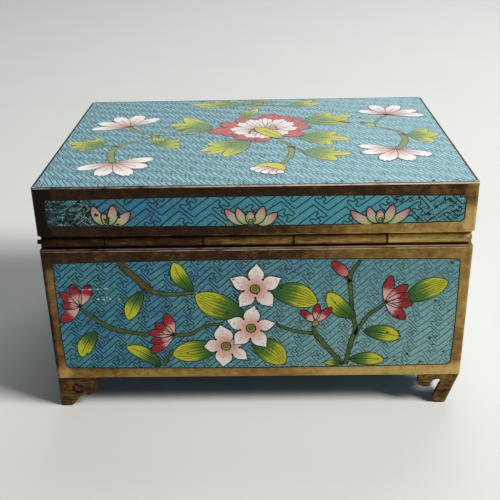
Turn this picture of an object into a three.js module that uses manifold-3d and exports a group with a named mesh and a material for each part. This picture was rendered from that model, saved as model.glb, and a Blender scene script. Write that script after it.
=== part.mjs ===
// Cloisonne enamel box: a shallow hinged lid on a deep base that stands on four bracket feet.
// Millimetres, +Z up, feet on z = 0. The hinged back faces -Y, and the middle of the footprint is
// the origin. Brass walls hold slabs of enamel in shallow beds, one to each outer face.

import * as THREE from "three";
import { mergeVertices } from "three/addons/utils/BufferGeometryUtils.js";
import Module from "manifold-3d";

const wasm = await Module();
wasm.setup();

// Outer sizes of the box
const boxWidth = 126.2;
const boxDepth = 94.5;
const backWallHeight = 43.6; // from the base's underside to the hinge
const lidHeight = 14.6; // from the lid's rim to its top
const edgeRadius = 1.2; // upright edges of the lid and base
const edgeSteps = 3;

// Sheet metal
const baseWall = 2.0;
const baseFloor = 2.0;
const lidWall = 2.0;
const lidPlate = 2.0;
const rimGap = 0.5; // seam between the lid's rim and the base's front and side walls

// Locating lip inside the front and side walls of the base
const lipThickness = 0.8;
const lipRise = 2.5; // above the top of the base wall
const lipRoot = 8.5; // how far the lip's strip runs down the wall
const lipPlay = 0.35; // between the lip and the inside of the lid
const lipBackEnd = 4.5; // from the inside of the back wall to the end of each side lip
const lipTuck = 0.3; // how far the lip's strip is let into the wall that it is soldered to

// Hinge
const barrelRadius = 1.7;
const boreRadius = 0.95;
const pinRadius = 0.7;
const leafThickness = 0.5;
const barrelPlay = 0.3; // between a barrel and the leaf opposite
const barrelSetBack = 0.2; // from the back face to the barrel
const barrelClearance = 0.6; // between the barrel and what is in front of it
const leafSetBack = 0.5; // from the back face to the leaf's edge
const leafWeb = 0.7; // thickness of the strip between a leaf and its barrels
const hingeEndInset = 0.9; // from the side of the box to the last knuckle
const knuckleGap = 0.3;
const pinProud = 0.4; // how far the pin stands out of the left side
const pinShort = 0.5; // how far it stops short of the right side
const knuckleShares = [0.149, 0.23, 0.211, 0.216, 0.194]; // of the hinge's length, cut by hand
const barrelSides = 20;
const pinSides = 12;

// Enamel slabs and their beds
const bedDepth = 0.8;
const slabPlay = 0.05; // round a slab and behind it
const slabSetIn = 0.06; // from the metal's face to the enamel's
const panelSideBorder = 3.45;
const panelCorner = 1.4;
const longBow = 0.6; // how far a long edge swells in its middle
const uprightBow = 0.3;
const basePanelBottomBorder = 3.6;
const basePanelTopBorder = 3.7;
const lidPanelBottomBorder = 3.0;
const lidPanelTopBorder = 3.5;
const topPanelBorder = 0.9;
const topPanelCorner = 1.4;
const curveSteps = 8;

// Bracket feet, each a plate bent round a corner of the base
const footHeight = 10.6;
const footLength = 12.7;
const footThickness = 1.3;
const footPad = 3.3; // the flat length that it stands on
const footStep = 2.4; // from the pad's end to the inner curve of the leg
const footLobeHeight = 4.0;
const footLobeReach = 9.1;
const footHoleAcross = 6.3; // from the corner to the middle of the hole
const footHoleHeight = 6.4;
const footHoleRadius = 2.0;
const footHoleSides = 16;

// The right foot at the back is bent in under the box and its arch is worn through
const bentLean = 3.6;
const bentSlotWidth = 2.6;
const bentLobeHeight = 6.1;
const bentHoleHeight = 7.3;
const bentHoleRadius = 1.5;

const basePlane = footHeight; // underside of the base
const backWallTop = basePlane + backWallHeight;
const hingeHeight = 2 * (leafThickness + barrelPlay + barrelRadius);
const lidRim = backWallTop + hingeHeight;
const wallTop = lidRim - rimGap;
const lidTop = lidRim + lidHeight;
const backFace = -boxDepth / 2;
const axisY = backFace + barrelSetBack + barrelRadius;
const axisZ = backWallTop + leafThickness + barrelPlay + barrelRadius;
const hingeRoomFront = axisY + barrelRadius + barrelClearance;

const brass = { color: 0x7d5c2c, roughness: 0.45, metalness: 1.0 };
const hingeBrass = { color: 0xa8843f, roughness: 0.4, metalness: 1.0 };
const footBrass = { color: 0x5e4424, roughness: 0.5, metalness: 1.0 };
const enamel = { color: 0x3d8ea0, roughness: 0.2, metalness: 0.0 };

// A closed solid of a three.js geometry, for cutting and joining.
function solidOf(geometry) {
  const bare = geometry.clone();
  bare.deleteAttribute("normal");
  bare.deleteAttribute("uv");
  const merged = mergeVertices(bare, 1e-4);
  return new wasm.Manifold(new wasm.Mesh({
    numProp: 3,
    vertProperties: Float32Array.from(merged.attributes.position.array),
    triVerts: Uint32Array.from(merged.index.array),
  }));
}

function geometryOf(solid) {
  const mesh = solid.getMesh();
  const geometry = new THREE.BufferGeometry();
  geometry.setAttribute("position", new THREE.BufferAttribute(mesh.vertProperties, 3));
  geometry.setIndex(new THREE.BufferAttribute(mesh.triVerts, 1));
  geometry.computeVertexNormals();
  return geometry;
}

function meshOf(name, geometry, finish) {
  const mesh = new THREE.Mesh(geometry, new THREE.MeshStandardMaterial(finish));
  mesh.name = name;
  return mesh;
}

// A block between two corners.
function block(low, high) {
  const size = high.map((value, i) => value - low[i]);
  const geometry = new THREE.BoxGeometry(...size);
  geometry.translate(...low.map((value, i) => value + size[i] / 2));
  return solidOf(geometry);
}

// A rod along X with its middle on the hinge's axis.
function rod(from, to, radius, sides) {
  const geometry = new THREE.CylinderGeometry(radius, radius, to - from, sides);
  geometry.rotateZ(Math.PI / 2);
  geometry.translate((from + to) / 2, axisY, axisZ);
  return solidOf(geometry);
}

// A rectangle with rounded corners, whose edges may swell in their middles.
function panelShape(width, height, corner, acrossBow = 0, upBow = 0) {
  const x = width / 2;
  const y = height / 2;
  const shape = new THREE.Shape();
  shape.moveTo(corner - x, -y);
  shape.quadraticCurveTo(0, -y - 2 * acrossBow, x - corner, -y);
  shape.quadraticCurveTo(x, -y, x, corner - y);
  shape.quadraticCurveTo(x + 2 * upBow, 0, x, y - corner);
  shape.quadraticCurveTo(x, y, x - corner, y);
  shape.quadraticCurveTo(0, y + 2 * acrossBow, corner - x, y);
  shape.quadraticCurveTo(-x, y, -x, y - corner);
  shape.quadraticCurveTo(-x - 2 * upBow, 0, -x, corner - y);
  shape.quadraticCurveTo(-x, -y, corner - x, -y);
  return shape;
}

// An upright block with rounded corners between two heights, inset from the box's outer face.
function tub(inset, low, high) {
  const radius = Math.max(edgeRadius - inset, 0.3);
  const x = boxWidth / 2 - inset;
  const y = boxDepth / 2 - inset;
  const shape = new THREE.Shape();
  shape.moveTo(radius - x, -y);
  shape.absarc(x - radius, radius - y, radius, -Math.PI / 2, 0);
  shape.absarc(x - radius, y - radius, radius, 0, Math.PI / 2);
  shape.absarc(radius - x, y - radius, radius, Math.PI / 2, Math.PI);
  shape.absarc(radius - x, radius - y, radius, Math.PI, 1.5 * Math.PI);
  const geometry = new THREE.ExtrudeGeometry(shape, {
    depth: high - low, bevelEnabled: false, curveSegments: edgeSteps,
  });
  geometry.translate(0, 0, low);
  return solidOf(geometry);
}

// Each enamel panel: where its middle is on the box's face, how the face turns, and its size.
// A face's own x runs across it, its y up it, and its z out of it.
function sidePanel(name, turn, low, high, bow) {
  const acrossX = Math.abs(Math.sin(turn)) < 0.5; // the front and back run along X
  const reach = acrossX ? boxDepth / 2 : boxWidth / 2;
  const across = acrossX ? boxWidth : boxDepth;
  return {
    name,
    centre: [reach * Math.sin(turn), -reach * Math.cos(turn), (low + high) / 2],
    turn: [Math.PI / 2, 0, turn, "ZYX"],
    width: across - 2 * panelSideBorder,
    height: high - low,
    corner: panelCorner,
    bows: [longBow * (across / boxWidth), bow],
  };
}

const facings = { back: 0, right: Math.PI / 2, front: Math.PI, left: -Math.PI / 2 };
const basePanels = Object.entries(facings).map(([side, turn]) => sidePanel(
  `base_enamel_${side}`, turn, basePlane + basePanelBottomBorder,
  (side === "back" ? backWallTop : wallTop) - basePanelTopBorder, uprightBow,
));
const lidPanels = Object.entries(facings).map(([side, turn]) => sidePanel(
  `lid_enamel_${side}`, turn, lidRim + lidPanelBottomBorder, lidTop - lidPanelTopBorder, 0,
));
lidPanels.push({
  name: "lid_enamel_top",
  centre: [0, 0, lidTop],
  turn: [0, 0, 0, "ZYX"],
  width: boxWidth - 2 * topPanelBorder,
  height: boxDepth - 2 * topPanelBorder,
  corner: topPanelCorner,
  bows: [0, 0],
});

function panelBody(panel, grow, from, to) {
  const shape = panelShape(
    panel.width + 2 * grow, panel.height + 2 * grow, panel.corner + grow, ...panel.bows,
  );
  const geometry = new THREE.ExtrudeGeometry(shape, {
    depth: to - from, bevelEnabled: false, curveSegments: curveSteps,
  });
  geometry.translate(0, 0, from);
  return geometry;
}

// The bed that a panel's enamel lies in, open to the outside of the face.
function bedSolid(panel) {
  const geometry = panelBody(panel, slabPlay, -bedDepth, bedDepth);
  const place = new THREE.Matrix4().makeRotationFromEuler(new THREE.Euler(...panel.turn));
  place.setPosition(...panel.centre);
  geometry.applyMatrix4(place);
  return solidOf(geometry);
}

function slabMesh(panel) {
  const geometry = panelBody(panel, 0, slabPlay - bedDepth, -slabSetIn);
  const mesh = meshOf(panel.name, geometry, enamel);
  mesh.position.set(...panel.centre);
  mesh.rotation.set(...panel.turn);
  return mesh;
}

// The base: a floor and four walls, the back one low for the hinge, and a lip that locates the
// lid on the other three sides.
function baseSolid() {
  const inside = baseWall;
  let base = tub(0, basePlane, wallTop).subtract(tub(inside, basePlane + baseFloor, wallTop + 1));
  const lipOuter = lidWall + lipPlay;
  const strip = tub(inside - lipTuck, wallTop - lipRoot, wallTop)
    .add(tub(lipOuter, wallTop - lipRoot, wallTop + lipRise))
    .subtract(tub(lipOuter + lipThickness, wallTop - lipRoot - 1, wallTop + lipRise + 1));
  const lipBack = backFace + inside + lipBackEnd;
  base = base.add(strip.intersect(
    block([-boxWidth, lipBack, basePlane], [boxWidth, boxDepth, lidTop]),
  ));
  base = base.subtract(
    block([-boxWidth, backFace - 1, backWallTop], [boxWidth, hingeRoomFront, lidTop]),
  );
  return basePanels.reduce((solid, panel) => solid.subtract(bedSolid(panel)), base);
}

function lidSolid() {
  const shell = tub(0, lidRim, lidTop).subtract(tub(lidWall, lidRim - 1, lidTop - lidPlate));
  return lidPanels.reduce((solid, panel) => solid.subtract(bedSolid(panel)), shell);
}

// Where each knuckle of the hinge starts and ends along X.
function knuckleSpans() {
  const start = hingeEndInset - boxWidth / 2;
  const length = boxWidth - 2 * hingeEndInset;
  let from = start;
  return knuckleShares.map((share, i) => {
    const last = i === knuckleShares.length - 1;
    const to = last ? start + length : from + share * length;
    const span = [from + (i === 0 ? 0 : knuckleGap / 2), to - (last ? 0 : knuckleGap / 2)];
    from = to;
    return span;
  });
}

// One leaf of the hinge with its knuckles: the first and every other one are the base's.
function leafSolid(first, leafLow, webLow, webHigh) {
  const spans = knuckleSpans();
  const front = axisY + barrelRadius;
  let leaf = block(
    [spans[0][0], backFace + leafSetBack, leafLow],
    [spans.at(-1)[1], front, leafLow + leafThickness],
  );
  const own = spans.filter((_, i) => i % 2 === first);
  for (const [from, to] of own) {
    leaf = leaf.add(rod(from, to, barrelRadius, barrelSides));
    leaf = leaf.add(block([from, front - leafWeb, webLow], [to, front, webHigh]));
  }
  for (const [from, to] of own) {
    leaf = leaf.subtract(rod(from - knuckleGap, to + knuckleGap, boreRadius, pinSides));
  }
  return leaf;
}

// A foot's outline on one face of the box: s runs from the corner along the face, then height.
function footShape(bent) {
  const lobe = bent ? bentLobeHeight : footLobeHeight;
  const holeHeight = bent ? bentHoleHeight : footHoleHeight;
  const holeRadius = bent ? bentHoleRadius : footHoleRadius;
  const legEnd = footPad + footStep;
  const shape = new THREE.Shape();
  shape.moveTo(0, footHeight);
  shape.lineTo(0, 0);
  shape.lineTo(footPad, 0);
  if (bent) {
    // the arch is gone: a slot runs up from it into the hole
    const left = footHoleAcross - bentSlotWidth / 2;
    const drop = Math.sqrt(holeRadius ** 2 - (bentSlotWidth / 2) ** 2);
    shape.quadraticCurveTo(left, footStep / 2, left, lobe / 2);
    shape.lineTo(left, holeHeight - drop);
    shape.absarc(
      footHoleAcross, holeHeight, holeRadius,
      Math.atan2(-drop, -bentSlotWidth / 2), Math.atan2(-drop, bentSlotWidth / 2), true,
    );
    shape.quadraticCurveTo(left + bentSlotWidth, lobe, footLobeReach, lobe);
  } else {
    shape.quadraticCurveTo(legEnd - footStep / 3, footStep / 4, legEnd, footStep);
    shape.quadraticCurveTo(legEnd + footStep / 3, footLobeHeight, footLobeReach, footLobeHeight);
  }
  shape.quadraticCurveTo(footLength, lobe, footLength, footHeight);
  if (!bent) {
    const hole = new THREE.Path();
    hole.absarc(footHoleAcross, footHoleHeight, footHoleRadius, 0, 2 * Math.PI, true);
    shape.holes.push(hole);
  }
  return shape;
}

function footPlate(shape) {
  const geometry = new THREE.ExtrudeGeometry(shape, {
    depth: footThickness, bevelEnabled: false, curveSegments: footHoleSides / 2,
  });
  geometry.rotateX(Math.PI / 2); // s along X, height along Z, thickness along -Y
  geometry.translate(0, footThickness, 0);
  return geometry;
}

// A foot made at the back left corner, as two plates joined along the corner, and mirrored to the
// corner whose signs are given.
function footGeometry(signX, signY, bent) {
  const alongX = footPlate(footShape(bent));
  const alongY = footPlate(footShape(false));
  alongY.applyMatrix4(new THREE.Matrix4().set(0, 1, 0, 0, 1, 0, 0, 0, 0, 0, 1, 0, 0, 0, 0, 1));
  flipWinding(alongY);
  for (const plate of [alongX, alongY]) plate.translate(-boxWidth / 2, -boxDepth / 2, 0);
  const corner = tub(0, 0, footHeight);
  const geometry = geometryOf(solidOf(alongX).add(solidOf(alongY)).intersect(corner));
  if (bent) {
    const lean = bentLean / footHeight;
    geometry.applyMatrix4(new THREE.Matrix4().set(1, 0, -lean, bentLean, 0, 1, 0, 0, 0, 0, 1, 0, 0, 0, 0, 1));
  }
  geometry.applyMatrix4(new THREE.Matrix4().makeScale(-signX, -signY, 1));
  if (signX * signY < 0) flipWinding(geometry);
  geometry.computeVertexNormals();
  return geometry;
}

// Turns a geometry's faces round after it was mirrored.
function flipWinding(geometry) {
  const order = geometry.index?.array;
  if (order) {
    for (let i = 0; i < order.length; i += 3) [order[i], order[i + 1]] = [order[i + 1], order[i]];
    return;
  }
  const place = geometry.attributes.position;
  const corner = new THREE.Vector3();
  for (let i = 0; i < place.count; i += 3) {
    corner.fromBufferAttribute(place, i);
    place.setXYZ(i, place.getX(i + 1), place.getY(i + 1), place.getZ(i + 1));
    place.setXYZ(i + 1, corner.x, corner.y, corner.z);
  }
}

const box = new THREE.Group();
const base = new THREE.Group();
const lid = new THREE.Group();
box.add(base, lid);

base.add(meshOf("base_box", geometryOf(baseSolid()), brass));
base.add(...basePanels.map(slabMesh));
const corners = [["back_left", -1, -1], ["back_right", 1, -1], ["front_left", -1, 1], ["front_right", 1, 1]];
for (const [name, signX, signY] of corners) {
  base.add(meshOf(`foot_${name}`, footGeometry(signX, signY, name === "back_right"), footBrass));
}
base.add(meshOf(
  "hinge_leaf_base",
  geometryOf(leafSolid(0, backWallTop, backWallTop, axisZ)),
  hingeBrass,
));
base.add(meshOf(
  "hinge_pin",
  geometryOf(rod(-boxWidth / 2 - pinProud, boxWidth / 2 - pinShort, pinRadius, pinSides)),
  hingeBrass,
));

lid.add(meshOf("lid_box", geometryOf(lidSolid()), brass));
lid.add(...lidPanels.map(slabMesh));
lid.add(meshOf(
  "hinge_leaf_lid",
  geometryOf(leafSolid(1, lidRim - leafThickness, axisZ, lidRim)),
  hingeBrass,
));

export default box;
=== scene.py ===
import math
import random

import bpy
import numpy as np
from mathutils import Matrix, Vector


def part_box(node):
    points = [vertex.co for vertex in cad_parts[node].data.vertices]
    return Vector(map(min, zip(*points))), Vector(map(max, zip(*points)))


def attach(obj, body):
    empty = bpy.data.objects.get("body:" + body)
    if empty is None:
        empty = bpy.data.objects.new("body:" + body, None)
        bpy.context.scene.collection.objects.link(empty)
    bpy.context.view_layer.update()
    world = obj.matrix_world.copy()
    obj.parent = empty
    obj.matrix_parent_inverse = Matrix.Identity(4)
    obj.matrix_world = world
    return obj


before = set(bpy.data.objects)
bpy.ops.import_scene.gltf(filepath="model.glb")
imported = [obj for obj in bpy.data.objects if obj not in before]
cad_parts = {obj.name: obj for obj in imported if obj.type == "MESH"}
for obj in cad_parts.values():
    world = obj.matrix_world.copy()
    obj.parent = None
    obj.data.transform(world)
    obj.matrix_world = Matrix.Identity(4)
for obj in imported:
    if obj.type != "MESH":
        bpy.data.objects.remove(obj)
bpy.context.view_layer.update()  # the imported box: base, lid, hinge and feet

mm = 0.001
print("stage: frame loaded")


# Shader nodes written as expressions: a Value wraps a socket, a Finish makes one material.
class Value:
    def __init__(self, finish, socket):
        self.finish = finish
        self.socket = socket

    def sum(self, operation, *values):
        return self.finish.node("Math", {"operation": operation}, dict(enumerate(values)))

    def __abs__(self):
        return self.sum("ABSOLUTE", self)

    def span(self, low, high):  # 0 at low, 1 at high, and smooth between
        settings = {"interpolation_type": "SMOOTHSTEP", "clamp": True}
        return self.finish.node("MapRange", settings, {"Value": self, "From Min": low, "From Max": high})


def forward(operation):
    return lambda value, other: value.sum(operation, value, other)


def backward(operation):
    return lambda value, other: value.sum(operation, other, value)


for name, operation in (("add", "ADD"), ("sub", "SUBTRACT"), ("mul", "MULTIPLY")):
    setattr(Value, f"__{name}__", forward(operation))
    setattr(Value, f"__r{name}__", backward(operation))


class Finish:
    def __init__(self, name, **constants):
        self.material = bpy.data.materials.new(name)
        self.material.use_nodes = True
        self.tree = self.material.node_tree
        self.shader = self.tree.nodes["Principled BSDF"]
        for key, value in constants.items():
            self.shader.inputs[key.replace("_", " ")].default_value = value
        self.place = self.node("TexCoord", {}, {}, "Object")

    def node(self, kind, settings, inputs, out=0):
        made = self.tree.nodes.new("ShaderNode" + kind)
        for key, value in settings.items():
            if key == "stops":
                ramp = made.color_ramp
                while len(ramp.elements) < len(value):
                    ramp.elements.new(0.5)
                for element, (at, colour) in zip(ramp.elements, value):
                    element.position = at
                    element.color = (*colour, 1)
            else:
                setattr(made, key, value)
        for key, value in inputs.items():
            if isinstance(value, Value):
                self.tree.links.new(value.socket, made.inputs[key])
            else:
                colour = isinstance(value, tuple) and made.inputs[key].type == "RGBA"
                made.inputs[key].default_value = (*value, 1) if colour else value
        return Value(self, made.outputs[out])

    def noise(self, size, detail=3.0, rough=0.5, seed=0.0):  # size in millimetres
        settings = {"noise_dimensions": "4D"}
        inputs = {"Vector": self.place, "W": seed, "Scale": 1 / (size * mm)}
        return self.node("TexNoise", settings, {**inputs, "Detail": detail, "Roughness": rough})

    def cells(self, size, feature="F1", out="Distance", wobble=1.0):
        inputs = {"Vector": self.place, "Scale": 1 / (size * mm), "Randomness": wobble}
        return self.node("TexVoronoi", {"feature": feature}, inputs, out)

    def axis(self, name):  # the place along one axis, in millimetres
        return self.node("SeparateXYZ", {}, {0: self.place}, name) * (1 / mm)

    def ramp(self, factor, stops):
        return self.node("ValToRGB", {"stops": stops}, {0: factor})

    def blend(self, factor, first, second, how="MIX"):
        settings = {"data_type": "RGBA", "blend_type": how}
        return self.node("Mix", settings, {0: factor, 6: first, 7: second}, 2)

    def attribute(self, name):
        return self.node("Attribute", {"attribute_name": name}, {}, "Fac")

    def give(self, **inputs):
        for key, value in inputs.items():
            self.tree.links.new(value.socket, self.shader.inputs[key.replace("_", " ")])
        return self

    def bump(self, height, depth, strength=1.0):  # depth in millimetres
        inputs = {"Strength": strength, "Distance": depth * mm, "Height": height}
        return self.give(Normal=self.node("Bump", {}, inputs))


# Finishes

enamelLook = {
    "deep": (0.004, 0.078, 0.150), "blue": (0.004, 0.196, 0.372), "green": (0.034, 0.235, 0.268),
    "pale": (0.268, 0.490, 0.462), "pit": (0.008, 0.014, 0.014), "chip": (0.50, 0.67, 0.65),
    "moss": (0.050, 0.150, 0.070), "frost_and_sheen": (0.335, 0.590, 0.680),
}


def fieldEnamel(name, worn_and_lit=False, pale=0.0, dust_and_sheen=0.0):
    f = Finish(name, IOR=1.5, Specular_IOR_Level=0.32)
    cloud = f.noise(7.0, 4.0, 0.6)
    patch = f.noise(2.2, 3.0, 0.6, 3.0)
    grain = f.noise(0.33, 3.0, 0.7, 5.0)
    colour = f.blend(patch.span(0.30, 0.62), enamelLook["deep"], enamelLook["blue"])
    colour = f.blend(cloud.span(0.40, 0.62) * 0.85, colour, enamelLook["green"])
    colour = f.blend(f.noise(3.6, 3.0, 0.6, 21.0).span(0.62, 0.72) * 0.5, colour, enamelLook["moss"])
    # paler towards the right and the bottom: partly dust, partly painted sheen
    right = f.axis("X").span(-48.0, 56.0) * (f.axis("Z").span(54.0, 20.0) * 0.6 + 0.4) * dust_and_sheen
    colour = f.blend(grain.span(0.46, 0.62) * (0.20 + 0.14 * dust_and_sheen + right * 0.5) + right * 0.58, colour,
        enamelLook["pale"])
    colour = f.blend(grain.span(0.48, 0.34) * 0.55, colour, enamelLook["deep"])
    if pale:  # the top is worn to a haze and carries painted sheen, both most at the right
        wear_and_sheen = f.axis("X").span(-62.0, 60.0) * 0.22 + patch.span(0.35, 0.65) * 0.12 + pale
        colour = f.blend(wear_and_sheen + grain.span(0.45, 0.60) * 0.12, colour, enamelLook["frost_and_sheen"])
    pits = f.cells(1.3).span(0.17, 0.10) * f.noise(9.0, 2.0, 0.5, 7.0).span(0.46, 0.56)
    specks = f.cells(0.8, wobble=0.9).span(0.13, 0.06) * f.noise(5.0, 2.0, 0.5, 9.0).span(0.54, 0.62)
    height = patch * 0.3 + grain * 0.5 - pits
    rough = 0.20 + grain * 0.20 + pits * 0.5
    if worn_and_lit:  # the enamel near both ends of the lid's hinged side is crazed and broken
        across = f.axis("X")
        ends = across.span(-43.0, -48.0) + across.span(39.0, 50.0) * 0.45
        ends = ends * f.noise(4.0, 3.0, 0.6, 11.0).span(0.30, 0.50)
        cracks = f.cells(1.9, "DISTANCE_TO_EDGE").span(0.10, 0.03) * ends
        lost = f.noise(1.3, 4.0, 0.65, 13.0).span(0.50, 0.56) * ends
        flake = f.noise(0.8, 4.0, 0.7, 17.0).span(0.54, 0.60) * ends
        colour = f.blend(ends * 0.6, colour, (0.016, 0.110, 0.120))
        # the whole side grows lighter towards the right: painted sheen
        colour = f.blend(across.span(-50.0, 40.0) * 0.80, colour, (0.080, 0.368, 0.430))
        colour = f.blend(lost * 0.9, colour, enamelLook["pit"])
        colour = f.blend(cracks * 0.7, colour, enamelLook["pit"])
        colour = f.blend(flake * 0.8, colour, enamelLook["chip"])
        height = height - cracks - lost
        rough = rough + ends * 0.25
    colour = f.blend(pits * 0.85, colour, enamelLook["pit"])
    colour = f.blend(specks * 0.7, colour, enamelLook["chip"])
    return f.give(Base_Color=colour, Roughness=rough).bump(height, 0.05, 0.7)


def cellEnamel(name, stops, streak=0.0, speck=None, speckTo=0.5, dust=0.16):
    f = Finish(name, IOR=1.5, Specular_IOR_Level=0.32)
    along, side = f.attribute("grade"), f.attribute("side")
    soft = f.noise(0.9, 3.0, 0.6, 2.0)
    fine = f.noise(0.30, 2.0, 0.7, 12.0)
    ribs = f.node("TexWave", {"wave_type": "BANDS"}, {
        "Vector": f.node("CombineXYZ", {}, {0: side, 1: along * 0.25}), "Scale": 1.1, "Distortion": 3.0,
    }, "Fac")
    factor = along + (soft - 0.5) * 0.22 + (fine - 0.5) * dust * 2.2 + (ribs - 0.5) * streak
    colour = f.ramp(factor, stops)
    shade = f.noise(0.4, 2.0, 0.5, 4.0)
    shaded = f.blend(1.0, colour, (0.72, 0.70, 0.66), "MULTIPLY")
    colour = f.blend(shade.span(0.35, 0.75) * 0.25, colour, shaded)
    if speck:
        dots = f.cells(0.55).span(0.30, 0.20) * f.noise(1.1, 2.0, 0.5, 6.0).span(0.46, 0.52)
        colour = f.blend(dots * along.span(speckTo + 0.5, 0.1) * 0.8, colour, speck)
    pits = f.cells(1.5).span(0.13, 0.08) * f.noise(6.0, 2.0, 0.5, 8.0).span(0.48, 0.54)
    colour = f.blend(pits * 0.85, colour, (0.03, 0.025, 0.02))
    return f.give(Base_Color=colour, Roughness=0.20 + shade * 0.16 + pits * 0.4).bump(soft - pits, 0.04, 0.5)


brassLook = {
    "bare": (0.56, 0.385, 0.130), "tan": (0.285, 0.165, 0.045), "brown": (0.060, 0.030, 0.013),
    "black": (0.014, 0.009, 0.006), "green": (0.050, 0.075, 0.045),
}


def oldBrass(name, bright=0.0, low=0.0, right=0.0, ends=(0.0, 0.0), seed=0.0, grime=0.5, streak=0.16,
    rim_wear_and_highlight=None, dim=0.0, start=-10.0, last_knuckle_highlight=0.0, strip=0.0):
    f = Finish(name, Specular_IOR_Level=0.12)
    broad = f.noise(16.0, 3.0, 0.6, seed)
    blotch = f.noise(2.6, 5.0, 0.68, seed + 2.0)
    fine = f.noise(0.45, 3.0, 0.65, seed + 4.0)
    # streaks stretched along X: rubbing, and where strong, painted highlights along the hinge's barrels
    rub_and_glint = f.node("TexNoise", {}, {
        "Vector": f.node("VectorMath", {"operation": "MULTIPLY"}, {0: f.place, 1: (0.25, 1.0, 3.2)}),
        "Scale": 900.0, "Detail": 2.0, "Roughness": 0.6,
    })
    worn_and_lit = broad * 0.50 + blotch * 0.60 + fine * 0.24 + (rub_and_glint - 0.5) * streak + (bright - 0.34)
    if rim_wear_and_highlight or right:  # lighter near the bottom, and lighter towards the right end as painted light from the right
        across, height = f.axis("X"), f.axis("Z")
        high = height.span(64.0, 69.0) * dim  # the painted light from the right is held back on the lid's upper rail
        worn_and_lit = worn_and_lit + height.span(16.0, 12.5) * low + across.span(start, start + 66.0) * right * (1 - high)
        inner = across.span(-57.0, -59.8) * across.span(-62.9, -61.2) * height.span(51.0, 46.0)
        worn_and_lit = worn_and_lit + inner * f.axis("Y").span(-46.5, -47.0) * strip
        # painted shade on the left post and a painted highlight on the right post
        worn_and_lit = worn_and_lit + across.span(-57.0, -60.5) * ends[0] + across.span(58.0, 60.5) * ends[1]
        # a painted highlight on the hinge's last knuckle
        worn_and_lit = worn_and_lit + across.span(37.8, 38.4) * last_knuckle_highlight
    colour = f.ramp(worn_and_lit, [
        (0.12, brassLook["black"]), (0.34, brassLook["brown"]), (0.60, brassLook["tan"]),
        (0.88, brassLook["bare"]),
    ])
    dirt = f.noise(1.1, 4.0, 0.7, seed + 6.0).span(0.58, 0.66) * grime
    colour = f.blend(dirt, colour, brassLook["black"])
    salts = f.noise(2.0, 4.0, 0.7, seed + 8.0).span(0.66, 0.74) * grime
    colour = f.blend(salts, colour, brassLook["green"])
    if rim_wear_and_highlight:  # a pale line along one height: partly edge wear, partly a painted highlight, stronger towards the right
        height, reach, strength, shift = rim_wear_and_highlight
        line = abs(f.axis("Z") - height).span(reach, reach * 0.5)
        line = line * f.axis("Y").span(shift - 46.3, shift - 46.6)
        line = line * f.noise(5.0, 3.0, 0.6, seed + 9.0).span(0.30, 0.55)
        line = line * (f.axis("X").span(-62.0, 20.0) * 0.5 + 0.5)
        colour = f.blend(line * strength, colour, (0.66, 0.52, 0.40))
    metal = worn_and_lit.span(0.05, 0.6) * 0.35 + 0.60 - dirt * 0.3
    rough = 0.50 - worn_and_lit.span(0.3, 0.9) * 0.14 + fine * 0.12
    f.give(Base_Color=colour, Metallic=metal, Roughness=rough)
    return f.bump(blotch * 0.6 + fine * 0.3 + rub_and_glint * 0.3, 0.09, 0.55)


def wireBrass(name, light, dark, seed=0.0, dust_and_sheen=None):
    f = Finish(name, Specular_IOR_Level=0.2)
    tarnish = f.noise(1.6, 4.0, 0.7, seed).span(0.50, 0.72)
    colour = f.blend(tarnish, dark, light)
    # paler towards the right: partly dust, partly painted sheen
    if dust_and_sheen:
        colour = f.blend(f.axis("X").span(-20.0, 50.0) * 0.6, colour, dust_and_sheen)
    return f.give(Base_Color=colour, Metallic=tarnish * 0.4 + 0.2, Roughness=0.62 - tarnish * 0.2)


def plainFinish(name, colour, spread, size, rough, metal=0.0):
    f = Finish(name, Metallic=metal, Specular_IOR_Level=0.3)
    mottle = f.noise(size, 3.0, 0.6)
    shaded = f.blend(mottle.span(0.35, 0.7) * spread, colour, tuple(c * 0.35 for c in colour))
    return f.give(Base_Color=shaded, Roughness=rough + mottle * 0.2).bump(mottle, 0.05, 0.5)


plainLooks = {  # name, colour, share that is mottled, size of the mottling, roughness, metal
    "lining": ("plain blue enamel lining", (0.030, 0.165, 0.270), 0.5, 5.0, 0.18),
    "stem": ("olive stem enamel", (0.075, 0.130, 0.016), 0.8, 1.6, 0.2),
    "stemTop": ("olive stem enamel of the lid", (0.250, 0.350, 0.110), 0.4, 1.6, 0.2),
    "twig": ("brown twig enamel", (0.095, 0.075, 0.012), 0.7, 1.6, 0.25),
    "eye": ("green and gold enamel of the flowers' middles", (0.34, 0.36, 0.05), 0.55, 0.7, 0.2),
    "stamen": ("orange stamen enamel", (0.62, 0.22, 0.06), 0.6, 0.5, 0.25),
    "chipMark": ("pale chips and scratches", (0.34, 0.47, 0.44), 0.5, 0.5, 0.5),
    "whiteMark": ("white nicks", (0.66, 0.72, 0.70), 0.3, 0.5, 0.5),
    "redSpeck": ("red specks", (0.30, 0.040, 0.045), 0.4, 0.5, 0.4),
    "rib": ("dark green rib", (0.008, 0.045, 0.006), 0.4, 0.8, 0.3),
    "vein": ("brown veins", (0.170, 0.085, 0.010), 0.5, 0.8, 0.3),
    "pitMark": ("dark pits", (0.010, 0.014, 0.012), 0.4, 0.5, 0.6),
    "underside": ("plain enamel of the underside", (0.010, 0.120, 0.200), 0.5, 6.0, 0.3),
    "gapGrimeAndShadow": ("dark grime in the hinge's joints", (0.008, 0.007, 0.005), 0.3, 0.5, 0.8),
    "grime": ("grime along the enamel's edge", (0.022, 0.020, 0.014), 0.5, 1.0, 0.7),
    "solder": ("old solder", (0.34, 0.25, 0.11), 0.6, 0.8, 0.45, 0.8),
    "rust": ("red residue", (0.30, 0.045, 0.020), 0.6, 0.5, 0.75),
}
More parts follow.
